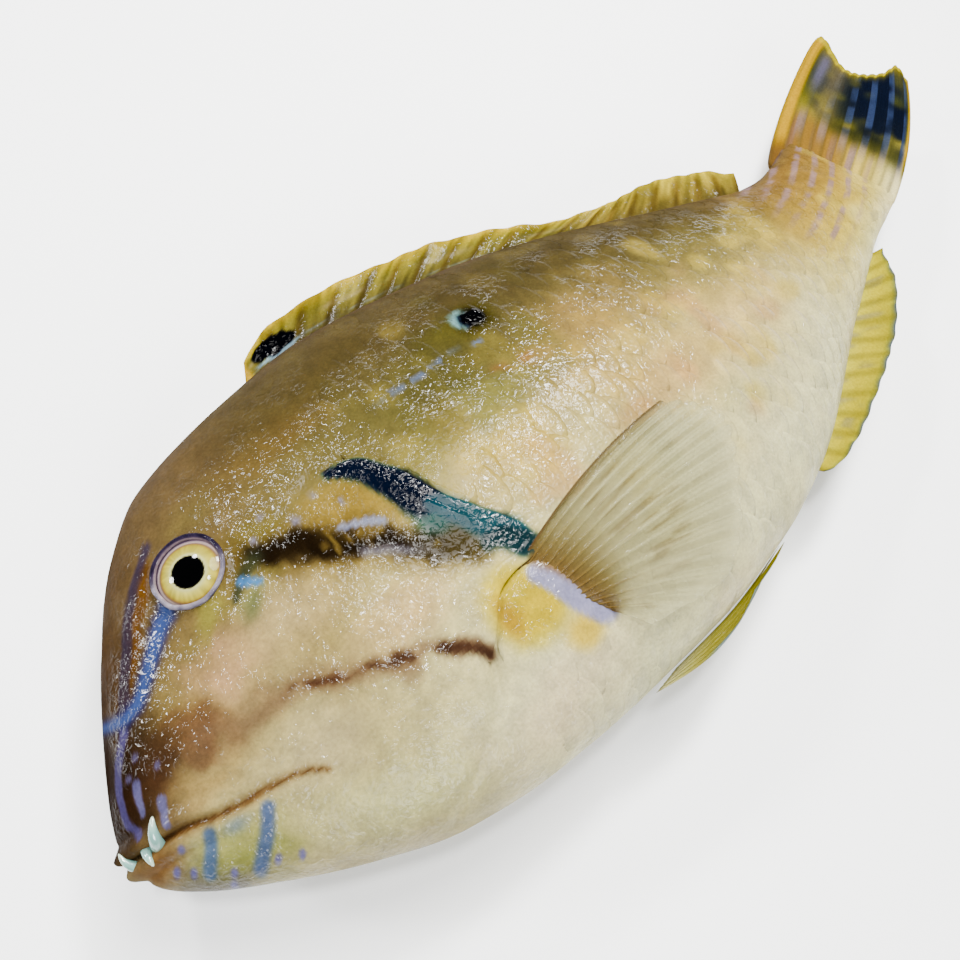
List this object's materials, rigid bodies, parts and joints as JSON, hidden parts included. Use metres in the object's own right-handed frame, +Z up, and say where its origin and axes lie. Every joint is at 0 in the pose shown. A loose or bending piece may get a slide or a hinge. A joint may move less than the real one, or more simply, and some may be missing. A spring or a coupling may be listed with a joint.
{
  "type": "tuskfish",
  "caption": "Life-size still model of a whole wrasse-like reef fish lying on its right flank, blunt head, tusk-like front teeth, low dorsal fin, tail bent towards the back",
  "frame": {"origin": "middle of the whole fish's box, on the ground that the right flank lies on", "axes": "-X towards the snout, +X towards the tail fin, +Y towards the back, +Z up, out of the left flank"},
  "size_m": [0.4238, 0.1762, 0.0648],
  "materials": {
    "skin": "wet scaled skin, olive back, golden flank and cream belly",
    "fin": "wet fin membrane over bony rays, yellow-olive",
    "eye": "clear wet eye with a golden iris and black pupil"
  },
  "bodies": {
    "root": {"head": "skin", "upper_jaw": "skin", "lower_jaw": "skin", "gill_cover_left": "skin", "gill_cover_right": "skin", "trunk": "skin", "hind_trunk": "skin", "tail_stem": "skin", "pectoral_fin_left": "fin", "pectoral_fin_right": "fin", "pelvic_fin_left": "fin", "pelvic_fin_right": "fin", "dorsal_fin_spiny": "fin", "dorsal_fin_soft": "fin", "anal_fin": "fin", "caudal_fin": "fin", "eye_left": "eye", "eye_right": "eye"}
  },
  "joints": []
}
